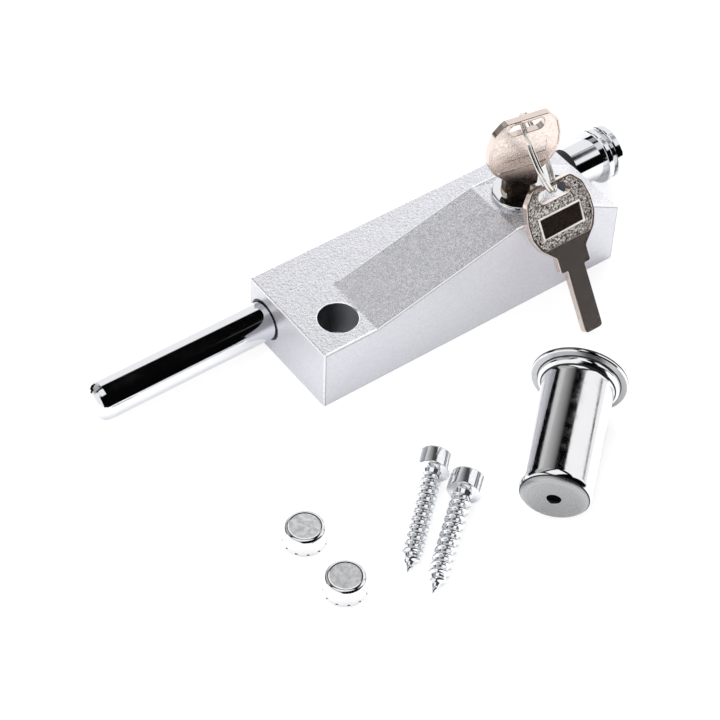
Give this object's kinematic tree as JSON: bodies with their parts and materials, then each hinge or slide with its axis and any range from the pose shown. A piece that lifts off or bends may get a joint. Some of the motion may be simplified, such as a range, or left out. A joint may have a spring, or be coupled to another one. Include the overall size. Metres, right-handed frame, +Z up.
{
  "type": "key-locking sliding door bolt",
  "caption": "Surface-mounted sliding door bolt with a chrome rod, pull knob and key lock, with its keys on a ring, receiver sleeve, screws and screw caps.",
  "frame": {"origin": "on the mounting face, midway between the two mounting holes", "axes": "+X along the bolt from its nose to the pull knob, +Y across the body from the wedge side to the bolt, +Z up from the mounting face to the key"},
  "size_m": [0.1924, 0.1177, 0.065],
  "materials": {
    "casting": "fine silver sparkle powder coat, satin",
    "chrome": "bright chrome plate",
    "steel": "zinc plated steel",
    "brass": "machined brass",
    "nickel": "cast nickel silver with a grainy field",
    "dark_nickel": "dull nickel, dark in its grain",
    "rubber": "matte black",
    "nylon": "black nylon",
    "acetal": "ivory acetal"
  },
  "bodies": {
    "body": {"body_casting": "casting", "base_plate": "steel", "plate_screws": "steel", "front_bush": "nylon", "rear_bush": "nylon", "friction_pad": "acetal", "pad_spring": "steel", "pad_screw": "steel", "lock_barrel": "brass", "barrel_nut": "steel", "lock_washer": "steel", "lock_bezel": "chrome", "receiver_sleeve": "chrome", "mounting_screws": "steel", "screw_caps": "chrome"},
    "bolt": {"bolt_rod": "chrome", "stop_pin": "steel", "knob_buffer": "rubber", "pull_knob": "chrome", "knob_screw": "steel"},
    "plug": {"lock_plug": "dark_nickel", "wafers": "brass", "cam": "steel", "cam_clip": "steel"},
    "slide": {"locking_slide": "steel"},
    "key": {"lock_key": "nickel"},
    "ring": {"key_ring": "steel"},
    "spare": {"spare_key": "dark_nickel"}
  },
  "joints": [
    {"name": "bolt_throw", "type": "slide", "parent": "body", "child": "bolt", "axis": [1, 0, 0], "range_m": [0, 0.055]},
    {"name": "plug_turn", "type": "hinge", "parent": "body", "child": "plug", "pos_m": [0.024, 0.0016, 0.03], "axis": [0, 0, 1], "range_deg": [-84, 0]},
    {"name": "slide_lock", "type": "slide", "parent": "body", "child": "slide", "axis": [0, 1, 0], "range_m": [0, 0.00402]},
    {"name": "key_withdraw", "type": "slide", "parent": "plug", "child": "key", "axis": [0, 0, 1], "range_m": [0, 0.024]},
    {"name": "ring_lift", "type": "slide", "parent": "body", "child": "ring", "axis": [0, 0, 1], "range_m": [0, 0.024]},
    {"name": "spare_swing", "type": "hinge", "parent": "ring", "child": "spare", "pos_m": [0.02932, -0.00793, 0.04105], "axis": [0, -0.8387, 0.5446], "range_deg": [-8, 8]}
  ],
  "couplings": [
    {"joint": "slide_lock", "follows": "plug_turn", "m_per_rad": -0.002738},
    {"joint": "ring_lift", "follows": "key_withdraw", "ratio": 1}
  ]
}
